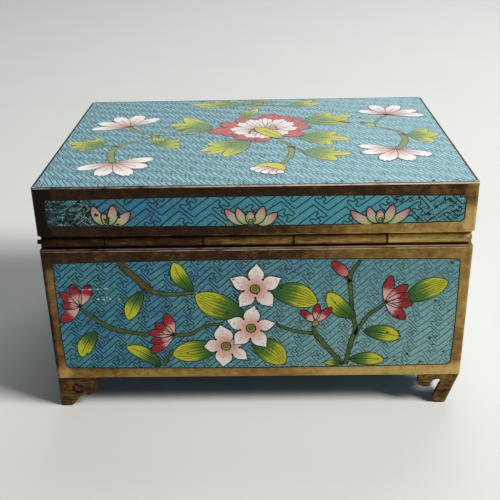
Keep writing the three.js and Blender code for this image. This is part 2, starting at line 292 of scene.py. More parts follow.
wireLooks = {  # name, polished and tarnished colours (the tarnished ones darkened further as painted shade on the sides, the top's lightened as painted reflection), seed, colour of the dust and painted sheen at the right
    "fretWire": ("tarnished fret wire", (0.115, 0.085, 0.035), (0.006, 0.014, 0.016)),
    "fretWireBack": ("fret wire, hazed at the right", (0.115, 0.085, 0.035), (0.006, 0.014, 0.016), 0.0,
        (0.120, 0.215, 0.190)),
    "fretWireTop": ("fret wire of the lid's top", (0.10, 0.15, 0.12), (0.010, 0.050, 0.060), 3.0,
        (0.19, 0.33, 0.36)),
    "outlineWire": ("tarnished outline wire", (0.085, 0.055, 0.015), (0.008, 0.008, 0.005), 5.0),
    "outlineWireTop": ("outline wire of the lid's top", (0.36, 0.22, 0.10), (0.10, 0.065, 0.04), 7.0),
}
finishes = {
    "field": fieldEnamel("turquoise enamel"),
    "backField": fieldEnamel("turquoise enamel, dusty and with painted sheen at the right", dust_and_sheen=1.0),
    "wornFieldWithSheen": fieldEnamel("turquoise enamel, broken at its ends", worn_and_lit=True),
    "topField": fieldEnamel("turquoise enamel of the lid's top", pale=0.60),
    "prunus": cellEnamel("white and pink prunus enamel", [
        (0.10, (0.70, 0.30, 0.28)), (0.34, (0.78, 0.44, 0.40)), (0.56, (0.88, 0.74, 0.68)),
        (0.78, (0.95, 0.91, 0.86)),
    ], 0.0, (0.30, 0.06, 0.06), 0.30, 0.26),
    "redTip": cellEnamel("pink enamel with red tips", [
        (0.10, (0.74, 0.50, 0.44)), (0.44, (0.70, 0.36, 0.33)), (0.54, (0.36, 0.012, 0.018)),
        (0.90, (0.28, 0.006, 0.012)),
    ], 0.05),
    "redBud": cellEnamel("red bud enamel", [
        (0.05, (0.66, 0.22, 0.20)), (0.42, (0.50, 0.08, 0.08)), (0.58, (0.34, 0.012, 0.018)),
        (0.95, (0.30, 0.008, 0.014)),
    ], 0.05),
    "lotusTop": cellEnamel("white and pink lotus enamel", [
        (0.05, (0.66, 0.34, 0.30)), (0.30, (0.78, 0.52, 0.48)), (0.56, (0.88, 0.76, 0.74)),
        (0.78, (0.95, 0.94, 0.93)),
    ], 0.14),
    "lotusBand": cellEnamel("pink and yellow lotus enamel", [
        (0.05, (0.30, 0.42, 0.12)), (0.36, (0.46, 0.52, 0.24)), (0.60, (0.58, 0.42, 0.32)),
        (0.90, (0.50, 0.19, 0.20)),
    ], 0.10),
    "salmon": cellEnamel("salmon red enamel", [
        (0.05, (0.62, 0.20, 0.16)), (0.45, (0.60, 0.14, 0.11)), (0.75, (0.60, 0.14, 0.12)),
        (0.95, (0.54, 0.12, 0.10)),
    ], 0.05),
    "leaf": cellEnamel("green and yellow leaf enamel", [
        (0.12, (0.012, 0.085, 0.008)), (0.40, (0.045, 0.165, 0.008)), (0.52, (0.190, 0.300, 0.008)),
        (0.64, (0.54, 0.56, 0.012)),
    ], 0.16),
    "leafTop": cellEnamel("green and yellow leaf enamel of the lid", [
        (0.08, (0.130, 0.280, 0.130)), (0.40, (0.240, 0.360, 0.110)), (0.58, (0.54, 0.58, 0.08)),
        (0.85, (0.70, 0.68, 0.07)),
    ], 0.14),
    "pod": cellEnamel("yellow pod enamel", [
        (0.05, (0.62, 0.58, 0.05)), (0.45, (0.70, 0.66, 0.07)), (0.75, (0.55, 0.58, 0.08)),
        (0.95, (0.66, 0.62, 0.08)),
    ], 0.3),
    # in the brass finishes below, the right-hand term is painted light from the right, and the ends paint
    # shade on the left post and a highlight on the right post
    "brass": oldBrass("old brass of the box", -0.02, low=0.34, right=0.28, ends=(-0.06, 0.04), strip=0.32,
        seed=1.0, rim_wear_and_highlight=(54.2, 0.3, 0.8, -0.45)),
    "lidBrass": oldBrass("old brass of the lid", -0.09, right=0.46, ends=(-0.18, 0.16), seed=11.0,
        rim_wear_and_highlight=(73.9, 0.35, 1.0, 0.1), dim=0.76),
    # the hinge's strong streaks are partly rubbing, partly painted highlights along its barrels
    "hingeBrass": oldBrass("old brass of the hinge", -0.06, right=0.34, last_knuckle_highlight=0.24, seed=21.0, grime=0.7,
        streak=0.8, rim_wear_and_highlight=(54.5, 0.4, 0.5, 0.0), start=-42.0),
    "footBrass": oldBrass("old brass of the feet", 0.02, right=0.12, seed=31.0, grime=0.8, streak=0.5),
}
finishes.update({key: plainFinish(*look) for key, look in plainLooks.items()})
finishes.update({key: wireBrass(*look) for key, look in wireLooks.items()})
print("stage: finishes made")


def addMesh(name, points, polygons, finish, body, slot, smoothed=True, **grades):
    mesh = bpy.data.meshes.new(name)
    mesh.from_pydata([tuple(p) for p in points], [], polygons)
    for key, values in grades.items():
        mesh.attributes.new(key, "FLOAT", "POINT").data.foreach_set("value", values)
    mesh.materials.append(finishes[finish])
    mesh.polygons.foreach_set("use_smooth", [smoothed] * len(mesh.polygons))
    mesh.update()
    piece = bpy.data.objects.new(name, mesh)
    bpy.context.scene.collection.objects.link(piece)
    if body:
        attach(piece, body)
    return piece


# One outer face of the box, drawn in millimetres across it and up it
class Face:
    def __init__(self, name, node, body, across, up, bow):
        self.name, self.body, self.bow = name, body, bow
        self.across, self.up = Vector(across), Vector(up)
        self.out = self.across.cross(self.up)
        corners = [Vector(c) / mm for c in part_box(node)]
        self.plane = max(c.dot(self.out) for c in corners)
        spans = [sorted(c.dot(v) for c in corners) for v in (self.across, self.up)]
        self.low, self.high = (np.array([s[i] for s in spans]) for i in (0, 1))
        self.masks, self.layers = [], {}

    def place(self, points, lift):
        points = np.asarray(points, float).reshape(-1, 2)
        depth = self.plane + np.broadcast_to(np.asarray(lift, float).ravel(), len(points))
        flat = np.outer(points[:, 0], self.across) + np.outer(points[:, 1], self.up)
        return (flat + np.outer(depth, self.out)) * mm

    def layer(self, kind):
        if kind not in self.layers:
            self.layers[kind] = {"points": [], "quads": [], "grade": [], "side": [], "count": 0}
        return self.layers[kind]

    def grid(self, kind, grid, lift, grade=0.0, side=0.0):  # rows run forward, columns left to right
        rows, cols = grid.shape[:2]
        layer = self.layer(kind)
        layer["points"].append(self.place(grid, lift))
        for key, value in (("grade", grade), ("side", side)):
            layer[key].append(np.broadcast_to(value, (rows, cols)).ravel())
        i, j = np.meshgrid(np.arange(rows - 1), np.arange(cols - 1), indexing="ij")
        first = (layer["count"] + i * cols + j).ravel()
        layer["quads"].append(np.stack([first, first + 1, first + cols + 1, first + cols], axis=1))
        layer["count"] += rows * cols

    def outline(self, inset):  # the enamel's edge, swelling in the middle of each side
        low, high = self.low + inset, self.high - inset
        corner, steps = 1.4, 24
        ways = [
            ((low[0], low[1]), (high[0], low[1]), (0, 1)), ((high[0], low[1]), (high[0], high[1]), (-1, 0)),
            ((high[0], high[1]), (low[0], high[1]), (0, -1)), ((low[0], high[1]), (low[0], low[1]), (1, 0)),
        ]
        points = []
        for start, end, inward in ways:
            start, end, inward = np.array(start), np.array(end), np.array(inward)
            length = np.linalg.norm(end - start)
            bow = self.bow[0] if inward[1] else self.bow[1]
            for t in np.linspace(corner / length, 1 - corner / length, steps):
                points.append(start + (end - start) * t + inward * bow * (2 * t - 1) ** 2)
        return np.array(points)

    def build(self, slot):
        for kind, layer in self.layers.items():
            grades = {key: np.concatenate(layer[key]).astype(np.float32) for key in ("grade", "side")}
            points, quads = np.vstack(layer["points"]).tolist(), np.vstack(layer["quads"]).tolist()
            addMesh(f"{self.name}_{kind}", points, quads, kind, self.body, slot, **grades)


sideBows = {"base": (0.6, 0.3), "lid": (0.6, 0.0)}
turns = {
    "back": ((1, 0, 0), (0, 0, 1)), "front": ((-1, 0, 0), (0, 0, 1)),
    "left": ((0, -1, 0), (0, 0, 1)), "right": ((0, 1, 0), (0, 0, 1)),
}
faces = {
    f"{body}_{side}": Face(f"{body}_{side}", f"{body}_enamel_{side}", body, *turn, sideBows[body])
    for body in ("base", "lid") for side, turn in turns.items()
}
top = faces["lid_top"] = Face("lid_top", "lid_enamel_top", "lid", (1, 0, 0), (0, 1, 0), (0.0, 0.0))
top.plane += 0.12  # the enamel has run out over the rim, except along the hinged edge
top.low -= (0.5, -0.1)
top.high += (0.5, 0.5)
topEnds = [[(x, y) for x in (top.low[0], top.high[0])] for y in (top.low[1], top.high[1])]
top.grid("topField", np.array(topEnds), 0.0)

layerLift = {"first": 0.010, "step": 0.020, "wire": 0.018}  # height above the enamel's face
bold = "outlineWire"
fine = "outlineWireTop"
finishes = {key: made.material for key, made in finishes.items()}


# Wires and cells

def ribbon(path, width):
    path = np.asarray(path, float)
    step = np.diff(path, axis=0)
    step /= np.linalg.norm(step, axis=1, keepdims=True) + 1e-9
    before, after = np.vstack([step[:1], step]), np.vstack([step, step[-1:]])
    ahead = before + after
    ahead /= np.linalg.norm(ahead, axis=1, keepdims=True) + 1e-9
    left = np.stack([-ahead[:, 1], ahead[:, 0]], axis=1)
    mitre = 1 / np.clip((before * ahead).sum(axis=1), 0.6, 1.0)
    half = (np.asarray(width) / 2 * mitre)[:, None]
    return np.stack([path + left * half, path, path - left * half], axis=1)


def liftOf(level):
    return layerLift["first"] + layerLift["step"] * level


def wire(face, kind, path, width, level):
    lift = liftOf(level)
    grid = ribbon(path, width)
    heights = np.broadcast_to([lift, lift + layerLift["wire"], lift], grid.shape[:2])
    face.grid(kind, grid, heights)


def smooth(points, steps=7):  # a soft curve through the points
    points = np.asarray(points, float)
    padded = np.vstack([2 * points[0] - points[1], points, 2 * points[-1] - points[-2]])
    curve = []
    for i in range(1, len(padded) - 2):
        a, b, c, d = padded[i - 1:i + 3]
        for t in np.linspace(0, 1, steps, endpoint=False):
            square = (2 * a - 5 * b + 4 * c - d) * t ** 2
            cube = (3 * b - a - 3 * c + d) * t ** 3
            curve.append(0.5 * (2 * b + (c - a) * t + square + cube))
    return np.array(curve + [points[-1]])


petalForm = {
    "rootEdge": 1.0, "tipEdge": 0.8, "bend": 0.0, "rows": 16, "cols": 7,
    "lobes": 0, "lobeStart": 0.02, "lobeRun": 0.66, "notch": 0.045, "drop": 0.12,
}
cellStack = {"made": 0, "step": 0.17, "steps": 5}


def stacked(level):  # each cell lies a hair above the last, so that no two meet in one plane
    level = level + cellStack["step"] * (cellStack["made"] % cellStack["steps"])
    cellStack["made"] += 1
    return level


def cell(face, kind, root, tip, width, level, line, lineWidth=0.26, **changes):
    form = {**petalForm, **changes}
    level = stacked(level)
    root, tip = np.array(root, float), np.array(tip, float)
    length = np.linalg.norm(tip - root)
    axis = (tip - root) / length
    left = np.array([-axis[1], axis[0]])
    t = (1 - np.cos(np.pi * np.linspace(0, 1, form["rows"]))) / 2
    reach = np.repeat(t[:, None], form["cols"], axis=1)
    side = np.linspace(-1, 1, form["cols"])
    wide = t ** form["rootEdge"] * (1 - t) ** form["tipEdge"]
    wide = np.maximum(wide / wide.max(), 0.03)
    if form["lobes"]:  # a broad petal whose end is scalloped
        wide = np.sin(np.pi * (form["lobeStart"] + form["lobeRun"] * t)) ** form["rootEdge"]
        wide = np.maximum(wide, 0.05)
        scallop = form["notch"] * np.cos(form["lobes"] * np.pi * side) - form["drop"] * side ** 2
        reach = t[:, None] * (1 + scallop * t[:, None] ** 2)
    middle = np.outer(t * (1 - t) * 4 * form["bend"] * length, left)
    grid = root + middle[:, None, :] + reach[..., None] * length * axis
    grid = grid - (wide[:, None] * side[None, :])[..., None] * left * (width / 2)
    face.grid(kind, grid, liftOf(level), t[:, None], side[None, :])
    edge = np.vstack([grid[:, 0], grid[-1, 1:-1], grid[::-1, -1]])
    face.masks.append(edge)
    wire(face, line, np.vstack([edge, edge[:1]]), lineWidth, level + 0.15)
    return grid


def disc(face, kind, centre, radius, level, line=None, lineWidth=0.26, squash=1.0, turn=0.0):
    angles = np.linspace(2 * np.pi, 0, 21)
    rings = np.array([0.02, 0.5, 1.0]) * radius
    around = np.stack([np.cos(angles), np.sin(angles) * squash], axis=1)
    around = around @ np.array([[math.cos(turn), math.sin(turn)], [-math.sin(turn), math.cos(turn)]])
    grid = np.array(centre) + rings[:, None, None] * around[None]
    face.grid(kind, grid, liftOf(level), (rings / radius)[:, None])
    face.masks.append(grid[-1])
    if line:
        wire(face, line, grid[-1], lineWidth, level + 0.15)


def curl(face, line, centre, radius, rounds, level, width=0.22, start=0.0):
    turn = np.linspace(0, rounds * 2 * np.pi, int(rounds * 14) + 4)
    reach = radius * (1 - 0.82 * turn / turn[-1])
    around = np.stack([np.cos(turn + start) * reach, np.sin(turn + start) * reach], axis=1)
    wire(face, line, np.array(centre) + around, width, level)


leafVeins = (  # the leaf's column, and the rows from and to
    (1, 10, 13), (2, 8, 15), (3, 7, 14), (4, 7, 16), (5, 8, 14), (6, 7, 15), (7, 10, 13),
)


def leaf(face, root, tip, width, level, bend=0.06, top=False):
    kind, line = ("leafTop", fine) if top else ("leaf", bold)
    grid = cell(face, kind, root, tip, width, level, line, rootEdge=0.74, tipEdge=0.66, bend=bend, rows=18,
        cols=9)
    middle = grid[:, 4]
    if width < 6.5:  # small leaves have one dark rib that runs into the yellow
        wire(face, "rib", middle[2:14], np.linspace(0.50, 0.14, 12), level + 1.2)
        return
    for column, start, end in leafVeins:
        wire(face, "vein", grid[start:end, column] * 0.9 + middle[start:end] * 0.1, 0.19, level + 1.2)


def stem(face, points, widths, level, top=False, kind=None):
    path = smooth(points)
    along = np.linspace(0, 1, len(path))
    width = 1.02 * np.interp(along, np.linspace(0, 1, len(widths)), widths)
    grid = ribbon(path, width)
    face.grid(kind or ("stemTop" if top else "stem"), grid, liftOf(level))
    face.masks.append(np.vstack([grid[:, 0], grid[::-1, 2]]))
    for edge in (grid[:, 0], grid[:, 2]):
        wire(face, fine if top else bold, edge, 0.24, level + 0.15)


def bulged(corners, centre, amounts, lean=1.0):  # curves from corner to corner that swell outward
    points = []
    for k, amount in enumerate(amounts):
        start, end = np.array(corners[k], float), np.array(corners[(k + 1) % len(corners)], float)
        way = end - start
        side = np.array([-way[1], way[0]])
        side = side * np.sign(((start + end) / 2 - centre) @ side)
        for t in np.linspace(0, 1, 9, endpoint=False):
            swell = math.sin(math.pi * (t ** lean if k % 2 == 0 else 1 - (1 - t) ** lean))
            points.append(start + way * t + side * amount * swell)
    points = np.array(points + [points[0]])
    turned = (points[:-1, 0] * points[1:, 1] - points[1:, 0] * points[:-1, 1]).sum() > 0
    return points[::-1] if turned else points


def patch(face, kind, edge, centre, level, line, width, origin, length):  # a cell filled out from its centre
    level = stacked(level)
    rings = np.array([0.02, 0.25, 0.5, 0.75, 1.0])
    grid = np.array(centre) + rings[:, None, None] * (edge - np.array(centre))[None]
    grade = np.linalg.norm(grid - np.array(origin), axis=2) / length
    face.grid(kind, grid, liftOf(level), grade)
    face.masks.append(edge)
    wire(face, line, edge, width, level + 0.15)


def prunus(face, centre, tips, notches, level):
    rng = np.random.default_rng(len(face.masks))
    corners = [p for pair in zip(tips, notches) for p in pair]
    edge = bulged(corners, np.array(centre), [0.18] * len(corners), 1.5)
    patch(face, "prunus", edge, centre, level, bold, 0.26, centre, 8.2)
    for tip, notch in zip(tips, notches):
        disc(face, bold, notch, 0.36, level + 1.0)
        for _ in range(5):
            share = rng.uniform(0.42, 0.9)
            spot = np.array(centre) * (1 - share) + np.array(tip) * share
            spot = spot + rng.uniform(-1.1, 1.1, 2) * (1 - share)
            mark(face, "redSpeck", rng, spot, 0.24, level + 1.1)
    disc(face, "eye", centre, 1.45, level + 1.6, bold, 0.34)
    curl(face, bold, centre, 1.0, 1.6, level + 1.9, 0.22)


def redFan(face, root, tips, widths, level):
    for k, (tip, width) in enumerate(zip(tips, widths)):
        above = level + 0.4 * (k % 2)
        cell(face, "redTip", root, tip, width, above, bold, 0.28, rootEdge=0.95, tipEdge=0.72)
    curl(face, bold, root, 0.9, 1.2, level + 1.8, 0.2)


def foliage(face, root, tips, level, deep=0.74):  # a lobed leaf: its tips in order, with notches between
    root, tips = np.array(root, float), [np.array(tip, float) for tip in tips]
    middle = sum(tips) / len(tips)
    notches = [root + ((a + b) / 2 - root) * deep for a, b in zip(tips, tips[1:])]
    corners = [root, tips[0]]
    for notch, tip in zip(notches, tips[1:]):
        corners += [notch, tip]
    centre = root * 0.45 + middle * 0.55
    amounts = [0.16] + [0.12] * (len(corners) - 2) + [0.16]
    edge = bulged(corners, centre, amounts)
    length = max(np.linalg.norm(tip - root) for tip in tips)
    patch(face, "leafTop", edge, centre, level, fine, 0.22, root, length)
    for tip in tips:
        vein = [root * (1 - share) + tip * share for share in (0.3, 0.55, 0.84)]
        wire(face, fine, vein, 0.2, level + 1.2)


def lotusFan(face, kind, root, tips, widths, level, line):
    order = sorted(range(len(tips)), key=lambda k: -abs(k - (len(tips) - 1) / 2))
    for rank, k in enumerate(order):
        above = level + 0.9 * rank
        grid = cell(face, kind, root, tips[k], widths[k], above, line, 0.22, rootEdge=1.15, lobes=3.0,
            cols=13)
        wire(face, line, grid[3:10, 6], 0.16, above + 1.3)
    curl(face, line, root, 1.0, 1.3, level + 0.9 * len(tips) + 1.3, 0.22)


# The flowers on the base's hinged side

def drawBaseBack(face):
    for points, widths in (
        ([(-53.1, 35.5), (-49.8, 32.4), (-45.8, 29.2), (-42.3, 27.7), (-37.2, 26.6), (-33.6, 25.8)],
            (0.8, 1.3, 1.7, 1.3, 1.1)),
        ([(-25.2, 25.6), (-20.4, 26.0), (-17.3, 27.8), (-14.2, 29.0), (-10.0, 29.6)], (1.3, 1.1, 0.9, 0.8)),
        ([(-29.4, 14.6), (-27.7, 17.5), (-25.6, 20.6)], (1.3, 1.0)),
        ([(5.8, 29.0), (11.6, 26.7), (17.1, 25.8)], (0.7, 1.0, 1.1)),
        ([(17.4, 28.4), (17.7, 25.9), (20.8, 21.6), (24.6, 16.9), (26.6, 14.5)], (0.9, 1.7, 1.3, 1.3)),
        ([(30.7, 50.4), (28.2, 46.5), (27.7, 43.9), (28.2, 38.9), (28.9, 32.1), (29.8, 28.6), (29.8, 26.1),
            (28.5, 21.5), (27.3, 14.5)], (0.9, 1.3, 1.2, 1.1, 1.4, 1.4, 1.3)),
        ([(38.1, 35.7), (34.1, 32.3), (31.6, 28.9), (29.9, 25.2)], (0.9, 1.1, 1.2)),
        ([(26.2, 45.3), (27.9, 43.2)], (0.6, 0.9)),
        ([(-32.3, 41.7), (-30.5, 40.6), (-25.1, 39.8), (-18.4, 40.3)], (1.8, 1.3, 1.2)),
    ):
        stem(face, points, widths, 0)
    stem(face, [(-40.3, 50.6), (-35.9, 45.8), (-31.4, 41.0)], (1.5, 1.9, 2.5), 0.6, kind="twig")
    for root, tip, width, bend in (
        ((-49.0, 27.2), (-54.6, 18.3), 5.1, -0.06), ((-33.8, 40.8), (-38.8, 31.2), 4.8, -0.06),
        ((-18.8, 40.8), (-24.0, 50.3), 5.0, 0.08),
        ((-3.6, 32.6), (-18.2, 39.3), 8.4, 0.04), ((-11.5, 21.4), (-26.1, 18.6), 7.4, 0.0),
        ((-30.0, 14.6), (-40.2, 21.7), 4.6, -0.08),
        ((4.4, 40.6), (18.2, 36.3), 7.8, 0.06), ((-1.5, 23.6), (8.6, 15.2), 8.0, 0.05),
        ((29.8, 31.2), (21.3, 39.7), 5.8, 0.08),
        ((44.2, 36.9), (56.6, 43.1), 6.8, 0.03), ((32.4, 26.4), (43.7, 24.0), 5.4, 0.05),
        ((28.3, 16.4), (39.1, 16.0), 4.6, 0.04),
        ((26.4, 14.9), (20.8, 15.3), 2.0, 0.0),
    ):
        leaf(face, root, tip, width, 1, bend)
    cell(face, "redBud", (27.0, 45.4), (22.5, 49.9), 3.2, 2, bold, rootEdge=0.45, tipEdge=0.45)
    redFan(face, (-53.0, 36.1), [(-58.5, 36.4), (-59.4, 30.6), (-58.6, 40.9), (-54.7, 43.7), (-49.2, 43.4)],
        (2.6, 3.6, 3.3, 3.2, 3.4), 2)
    redFan(face, (-25.3, 25.8), [(-33.3, 26.8), (-32.7, 23.0), (-32.8, 19.4), (-30.8, 29.8), (-27.4, 33.3)],
        (3.0, 3.0, 3.4, 3.2, 3.4), 2)
    redFan(face, (17.8, 29.7), [(13.3, 33.9), (22.6, 34.8), (18.4, 36.1)], (2.6, 2.8, 2.5), 2)
    disc(face, "eye", (17.8, 29.4), 1.0, 4.4, bold, 0.22)
    redFan(face, (38.4, 36.3), [(39.8, 45.3), (44.9, 42.2), (45.9, 39.0), (46.7, 35.6), (44.9, 30.4)],
        (3.3, 3.3, 3.0, 3.2, 3.5), 2)
    prunus(face, (-9.5, 21.6), [(-11.1, 29.3), (-5.1, 25.8), (-2.9, 16.5), (-10.7, 14.0), (-16.5, 21.5)],
        [(-7.2, 24.2), (-5.4, 21.0), (-7.7, 18.6), (-12.6, 19.6), (-12.6, 24.0)], 4)
    prunus(face, (-1.7, 27.9), [(-0.5, 36.0), (6.0, 29.6), (3.0, 20.9), (-7.1, 22.0), (-9.2, 30.8)],
        [(0.4, 30.2), (1.3, 27.0), (-2.0, 24.2), (-5.1, 27.3), (-3.9, 31.1)], 6)
    prunus(face, (-0.3, 41.3), [(0.3, 49.9), (7.7, 45.0), (5.0, 35.1), (-5.2, 35.1), (-7.8, 45.1)],
        [(2.1, 44.4), (3.7, 40.7), (-0.2, 38.4), (-3.7, 40.7), (-2.0, 44.5)], 8)


# The vines and flowers on the lid's top: y grows away from the hinged side

def drawLidTop(face):
    for points, widths in (
        ([(-43.1, -26.0), (-44.9, -19.8), (-45.4, -14.3), (-44.5, -9.9), (-42.6, -7.4)],
            (1.9, 2.2, 2.0, 1.9, 1.5)),
        ([(-42.6, -7.4), (-38.8, -4.7), (-35.5, -1.5), (-32.6, 1.9)], (1.2, 0.8, 0.7)),
        ([(-43.5, 12.2), (-41.6, 8.5), (-38.0, 4.4), (-32.6, 2.1), (-25.2, 2.1), (-19.9, 3.3), (-14.8, 8.2)],
            (1.3, 1.2, 0.9, 0.8, 0.8)),
        ([(-44.2, -9.7), (-46.4, -8.1), (-48.7, -7.9)], (1.0, 0.8)),
        ([(-32.6, 2.1), (-32.5, -1.7)], (0.8, 0.8)),
        ([(44.2, -16.5), (46.7, -12.6), (48.5, -7.4), (48.9, -2.0), (47.7, 2.0)], (1.8, 2.1, 1.9, 1.6)),
        ([(47.7, 2.0), (45.8, 4.9), (43.3, 6.9), (40.6, 9.4)], (1.3, 1.0, 0.8)),
        ([(40.6, 9.4), (41.9, 14.2), (44.3, 19.1), (46.5, 22.2)], (0.7, 0.9, 1.1)),
        ([(48.6, -0.3), (51.1, -1.8)], (0.9, 0.8)),
        ([(7.6, -4.6), (10.6, -9.5), (11.5, -12.9)], (0.9, 1.2)),
        ([(11.5, -11.9), (11.4, -19.5), (9.8, -25.1), (7.6, -29.9)], (2.1, 1.9, 1.3, 1.1)),
        ([(11.8, -12.2), (13.6, -14.9), (15.1, -17.2)], (0.9, 0.8)),
        ([(-5.6, 39.7), (-1.4, 36.6), (3.3, 38.6), (11.7, 36.5)], (0.9, 0.8, 0.9)),
    ):
        stem(face, points, widths, 0, top=True)
    for root, tips in (
        ((-47.8, -8.4), [(-62.0, -4.6), (-59.7, -10.0), (-56.5, -13.4)]),
        ((-49.2, -7.6), [(-56.0, -2.4), (-52.6, 0.6)]),
        ((-33.6, -7.6), [(-24.3, -3.4), (-24.0, -7.6), (-23.6, -11.8)]),
        ((-31.4, -8.4), [(-33.6, 0.2), (-30.4, -0.6)]),
        ((-14.6, 8.8), [(-27.0, 6.2), (-27.9, 10.1), (-30.2, 14.1), (-25.4, 23.4)]),
        ((-1.4, -6.2), [(-16.0, -8.0), (-17.6, -15.8), (-15.3, -18.4), (-9.4, -21.6)]),
        ((16.4, 15.4), [(26.9, 26.6), (34.9, 22.9), (33.0, 18.6), (33.8, 13.2)]),
        ((14.1, -1.2), [(27.6, 3.2), (31.8, -5.3), (24.8, -11.2)]),
        ((14.6, -17.1), [(25.4, -14.3), (30.6, -20.1), (25.0, -26.6)]),
        ((50.0, -1.8), [(58.1, 5.0), (61.0, -0.7), (57.6, -10.0)]),
        ((-4.0, 39.2), [(-22.4, 37.6), (-25.0, 40.6), (-15.2, 45.6)]),
        ((11.3, 36.5), [(21.6, 44.6), (25.4, 39.8)]),
        ((-4.2, 21.5), [(0.9, 34.2), (-3.6, 31.6)]),
    ):
        foliage(face, root, tips, 1)
    leaf(face, (36.4, 14.6), (40.8, 9.0), 3.0, 1, 0.0, True)
    for k, centre in enumerate([(-3.2, 42.6), (0.8, 44.6), (4.8, 42.8), (0.9, 40.4)]):
        disc(face, "stemTop", centre, 2.2, 1 + 0.3 * k, fine, 0.16)
    drawPeony(face)
    for root, tips, widths in (
        ((-43.6, 12.4), [(-56.8, 10.2), (-55.6, 17.9), (-49.9, 24.8), (-41.8, 27.0), (-34.6, 22.8)],
            (4.6, 5.0, 5.4, 5.6, 4.8)),
        ((-43.1, -26.0), [(-31.0, -22.3), (-32.1, -30.2), (-36.6, -37.6), (-45.4, -37.6), (-53.2, -31.5)],
            (4.8, 5.2, 5.6, 5.6, 5.0)),
        ((46.8, 22.9), [(37.3, 28.8), (43.1, 35.9), (52.2, 35.4), (58.4, 28.4), (60.2, 21.6)],
            (4.6, 5.4, 5.4, 4.8, 4.6)),
        ((44.2, -16.5), [(54.4, -22.7), (47.4, -27.7), (39.0, -27.6), (33.2, -20.1), (32.8, -12.4)],
            (5.0, 5.6, 5.6, 5.0, 4.6)),
    ):
        lotusFan(face, "lotusTop", root, tips, widths, 3, fine)


def drawPeony(face):  # the big flower, with its pod, and the bud that hangs below it
    heart = (3.2, 5.6)
    red = [(-15.7, 5.9), (-11.7, 15.3), (-5.4, 21.6), (0.4, 22.2), (5.6, 26.1), (11.6, 22.6), (16.0, 19.5),
        (18.8, 10.6), (16.2, 0.3), (1.0, -6.7), (-5.6, -3.8), (-11.2, 2.4)]
    pale = [(-8.6, 7.9), (-5.7, 15.0), (-1.9, 18.6), (3.4, 20.2), (9.7, 18.6), (13.1, 14.6), (14.3, 8.5),
        (11.0, 1.7), (2.3, -3.2), (-2.7, -1.8), (-7.1, 3.2)]
    for k, tip in enumerate(red):
        level = 3 + 0.6 * (k % 2)
        cell(face, "salmon", heart, tip, 7.6, level, fine, 0.2, rootEdge=0.8, lobes=3.0, cols=13)
    for k, tip in enumerate(pale):
        level = 5 + 0.8 * (k % 3)
        grid = cell(face, "lotusTop", heart, tip, 5.2, level, fine, 0.2, rootEdge=0.9, lobes=2.0, cols=13)
        for column in (4, 8):
            wire(face, fine, grid[4:13, column], 0.15, level + 1.3)
    for k in range(14):
        centre = (-0.8, 5.0) if k % 3 else (6.4, 8.6)
        spot = (centre[0] + 1.1 * math.sin(k * 2.3), centre[1] + 2.2 * math.cos(k * 1.7))
        disc(face, "stamen", spot, 0.42, 9.5 + 0.02 * k, fine, 0.14)
    disc(face, "pod", (4.4, 2.9), 7.6, 9.9, fine, 0.24, squash=0.36, turn=-0.98)
    for k, share in enumerate(np.linspace(-0.86, 0.86, 8)):
        centre = (4.4 + 4.1 * share, 2.9 - 6.1 * share)
        curl(face, fine, centre, 1.1 - 0.4 * abs(share), 1.0, 10.4, 0.18, start=k * 1.9)
    disc(face, "pod", (4.6, -32.2), 4.9, 2, fine, 0.28, squash=0.95)
    scallops = [((4.0, -31.0), (-1.3, -33.6), 3.4), ((4.8, -31.6), (0.4, -36.0), 3.2),
        ((5.6, -32.4), (2.6, -37.4), 3.2), ((6.6, -33.0), (5.2, -38.2), 3.0),
        ((7.6, -33.8), (7.6, -37.6), 2.4)]
    for k, (root, tip, width) in enumerate(scallops):
        cell(face, "lotusTop", root, tip, width, 3 + 1.1 * k, fine, 0.24, rootEdge=0.8, tipEdge=0.4)


# Small lotuses on the lower edge of the lid's sides: the foot, then each petal's tip, width and layer
lotusForms = {
    "left": [(-42.2, 62.5), ((-46.0, 68.4), 2.9, 1), ((-35.5, 66.5), 2.9, 1), ((-40.2, 68.5), 3.0, 2.2),
        ((-43.2, 66.2), 2.0, 3.4)],
    "middle": [(-1.1, 62.2), ((-8.4, 66.9), 2.7, 1), ((6.5, 65.6), 2.9, 1), ((-5.0, 67.3), 2.6, 2.2),
        ((2.6, 67.6), 2.9, 2.2), ((-1.3, 66.2), 2.7, 3.4)],
    "right": [(35.8, 62.1), ((27.2, 65.8), 2.7, 1), ((44.0, 66.4), 2.7, 1), ((32.2, 67.0), 2.7, 2.2),
        ((39.2, 67.6), 2.9, 2.2), ((35.5, 66.2), 2.5, 3.4)],
}


def drawLotusBand(face, middles):
    for form, centre in middles:
        foot, *petals = lotusForms[form]
        for (x, y), width, level in petals:
            root = (centre + 0.22 * (x - foot[0]), foot[1])
            tip = (centre + x - foot[0], y)
            bend = 0.08 if x < foot[0] - 1 else -0.08 if x > foot[0] + 1 else 0.0
            cell(face, "lotusBand", root, tip, width, level, bold, 0.34, rootEdge=0.55, tipEdge=0.6,
                bend=bend)
        curl(face, bold, (centre, foot[1] + 1.0), 0.75, 1.2, 5.0, 0.26)


# Scratches, pits and chips in the enamel

def mark(face, kind, rng, spot, size, level):
    angles = np.linspace(2 * np.pi, 0, 8)
    reach = size * rng.uniform(0.35, 1.0, 8)
    reach[-1] = reach[0]
    edge = np.stack([np.cos(angles) * reach, np.sin(angles) * reach * 0.7], axis=1)
    face.grid(kind, np.stack([spot + edge * 0.05, spot + edge]), liftOf(level))


